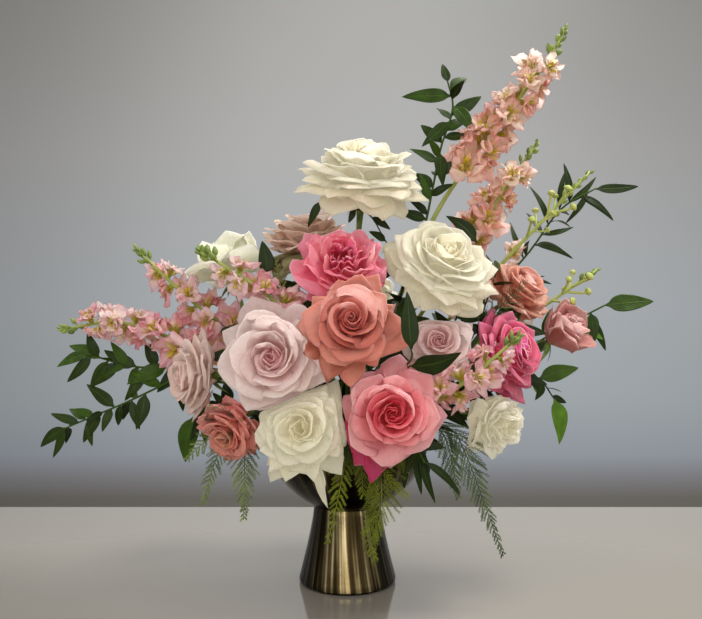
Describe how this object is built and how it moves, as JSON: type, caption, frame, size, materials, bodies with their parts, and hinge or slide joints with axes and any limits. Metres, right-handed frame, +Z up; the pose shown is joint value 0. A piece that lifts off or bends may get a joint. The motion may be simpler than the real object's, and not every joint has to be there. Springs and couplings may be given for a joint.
{
  "type": "floral table centerpiece",
  "caption": "Loose garden-style flower arrangement of open roses, spikes of stock, trailing leaves and fern in a footed brass compote bowl.",
  "frame": {"origin": "centre of the underside of the foot, on the table", "axes": "+Z up; +X to the right and +Y away from someone who looks at the front of the arrangement"},
  "size_m": [0.6279, 0.3095, 0.552],
  "materials": {
    "brass": "brushed and darkened, satin",
    "wet_foam": "matt, wet",
    "rose_stem": "satin",
    "stock": "matt, soft",
    "vine_leaf": "semi-gloss",
    "fern": "matt",
    "white_petal": "matt, soft",
    "hot_pink_petal": "matt, soft",
    "coral_petal": "matt, soft",
    "blush_petal": "matt, soft",
    "salmon_petal": "matt, soft",
    "magenta_petal": "matt, soft",
    "dusty_petal": "matt, soft"
  },
  "bodies": {
    "root": {"bloom_blush_back": "blush_petal", "bloom_blush_front": "blush_petal", "bloom_blush_left": "blush_petal", "bloom_blush_right": "blush_petal", "bloom_coral_front": "coral_petal", "bloom_coral_left": "coral_petal", "bloom_coral_right": "coral_petal", "bloom_dusty_right": "dusty_petal", "bloom_dusty_top": "dusty_petal", "bloom_hot_pink": "hot_pink_petal", "bloom_magenta_right": "magenta_petal", "bloom_salmon_back": "salmon_petal", "bloom_salmon_front": "salmon_petal", "bloom_white_back": "white_petal", "bloom_white_left": "white_petal", "bloom_white_low": "white_petal", "bloom_white_right": "white_petal", "bloom_white_side": "white_petal", "bloom_white_top": "white_petal", "bowl": "brass", "fern_centre": "fern", "fern_left": "fern", "fern_right": "fern", "fern_top_left": "fern", "foam": "wet_foam", "foot": "brass", "stem_blush_back": "rose_stem", "stem_blush_front": "rose_stem", "stem_blush_left": "rose_stem", "stem_blush_right": "rose_stem", "stem_coral_front": "rose_stem", "stem_coral_left": "rose_stem", "stem_coral_right": "rose_stem", "stem_dusty_right": "rose_stem", "stem_dusty_top": "rose_stem", "stem_hot_pink": "rose_stem", "stem_magenta_right": "rose_stem", "stem_salmon_back": "rose_stem", "stem_salmon_front": "rose_stem", "stem_white_back": "rose_stem", "stem_white_left": "rose_stem", "stem_white_low": "rose_stem", "stem_white_right": "rose_stem", "stem_white_side": "rose_stem", "stem_white_top": "rose_stem", "stock_budding": "stock", "stock_front_left": "stock", "stock_front_right": "stock", "stock_left_high": "stock", "stock_left_low": "stock", "stock_middle": "stock", "stock_right": "stock", "stock_tall": "stock", "vine_far_right": "vine_leaf", "vine_front": "vine_leaf", "vine_left": "vine_leaf", "vine_low": "vine_leaf", "vine_right": "vine_leaf", "vine_top": "vine_leaf", "vine_top_left": "vine_leaf"}
  },
  "joints": []
}
